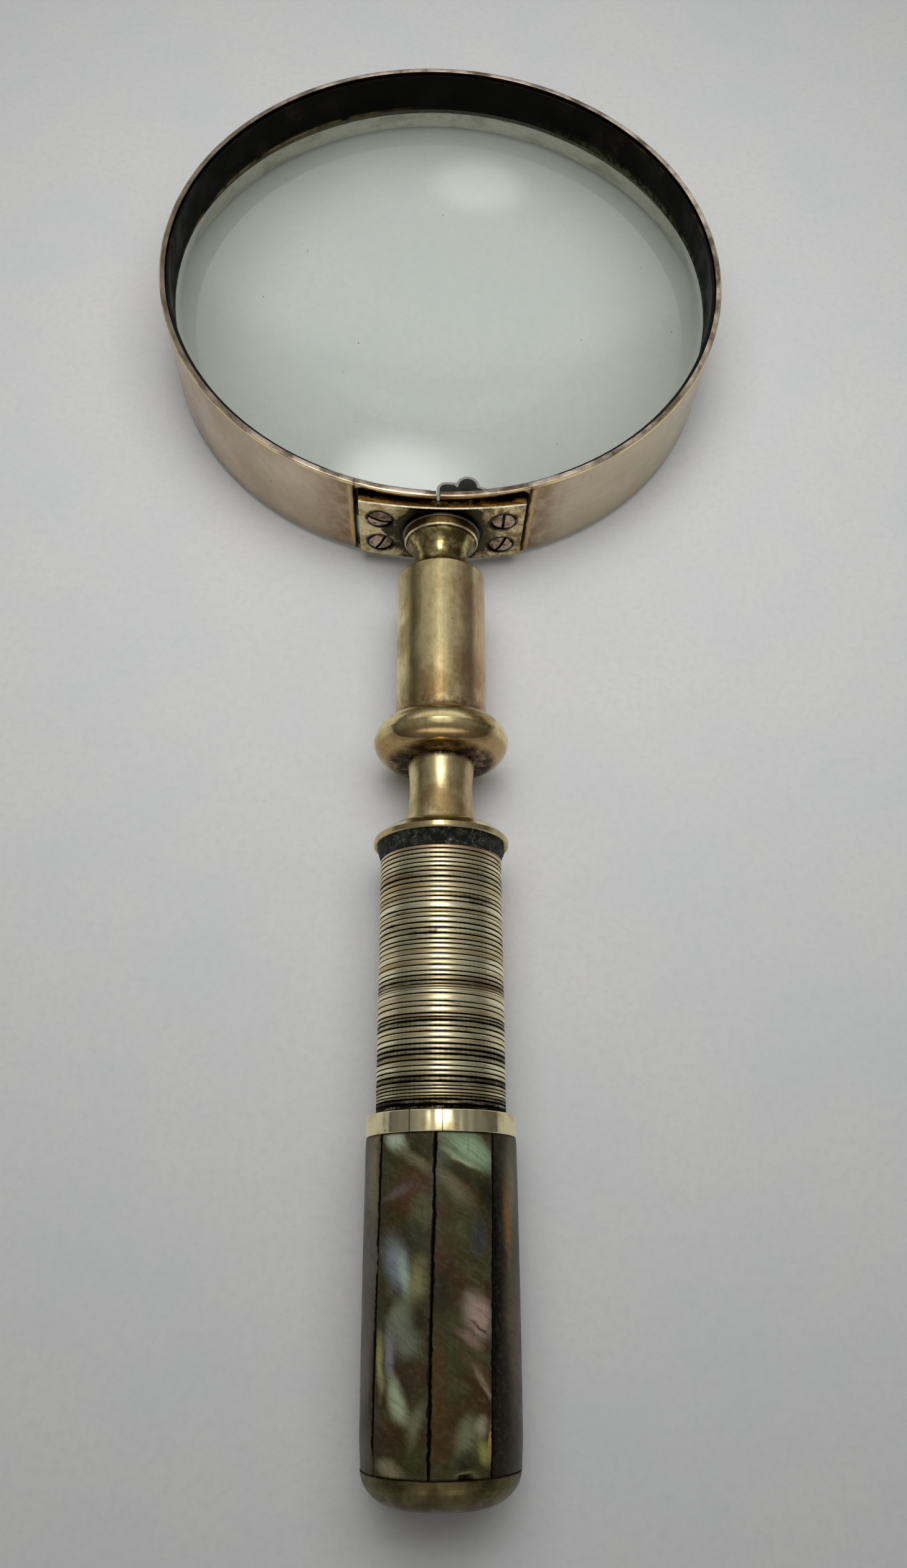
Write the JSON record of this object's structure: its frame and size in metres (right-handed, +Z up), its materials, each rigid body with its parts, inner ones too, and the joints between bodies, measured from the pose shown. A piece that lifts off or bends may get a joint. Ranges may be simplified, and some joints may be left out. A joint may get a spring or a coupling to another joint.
{
  "type": "hand lens",
  "caption": "Hand magnifier: a round biconvex lens in a deep split brass band, with a turned brass, wire-wound and shell-inlaid handle that screws into a saddle plate.",
  "frame": {"origin": "centre of the band's lower rim, on the lens axis", "axes": "+Z up along the lens axis, from the lower rim to the upper rim; -Y along the handle to its butt; +X to the right seen from the butt"},
  "size_m": [0.105, 0.2551, 0.022],
  "materials": {
    "band_brass": "satin",
    "lens_glass": "gloss",
    "dark_strip": "satin",
    "plate_brass": "satin",
    "screw_brass": "satin",
    "dark_washer": "satin",
    "stud_brass": "satin",
    "turned_brass": "satin",
    "polished_brass": "gloss",
    "cement": "matte",
    "core_wood": "matte",
    "wire_brass": "satin",
    "rod_steel": "satin",
    "dark_pearl": "gloss",
    "cap_brass": "satin"
  },
  "bodies": {
    "lens_head": {"frame_band": "band_brass", "lens": "lens_glass", "retaining_strip_upper": "dark_strip", "retaining_strip_lower": "dark_strip", "saddle_plate": "plate_brass", "backing_strap_upper": "dark_strip", "backing_strap_lower": "dark_strip", "plate_screws": "screw_brass"},
    "washer": {"stud_washer": "dark_washer"},
    "handle": {"handle_stud": "stud_brass", "socket_tube": "turned_brass", "bead_collar": "polished_brass", "neck_tube": "turned_brass", "top_flange": "polished_brass", "packing_ring": "cement", "grip_core": "core_wood", "wire_winding": "wire_brass", "ferrule": "polished_brass", "butt_core": "core_wood", "tie_rod": "rod_steel", "end_cap": "cap_brass", "cap_nut": "cap_brass", "pearl_stave_1": "dark_pearl", "pearl_stave_2": "dark_pearl", "pearl_stave_3": "dark_pearl", "pearl_stave_4": "dark_pearl", "pearl_stave_5": "dark_pearl", "pearl_stave_6": "dark_pearl", "pearl_stave_7": "dark_pearl", "pearl_stave_8": "dark_pearl"}
  },
  "joints": [
    {"name": "handle_travel", "type": "slide", "parent": "lens_head", "child": "washer", "axis": [0, -1, 0], "range_m": [0, 0.00225]},
    {"name": "handle_turn", "type": "hinge", "parent": "washer", "child": "handle", "pos_m": [0, -0.0542, 0.0097], "axis": [0, -1, 0], "range_deg": [0, 1080]}
  ],
  "couplings": [
    {"joint": "handle_turn", "follows": "handle_travel", "rad_per_m": 8377.6}
  ]
}
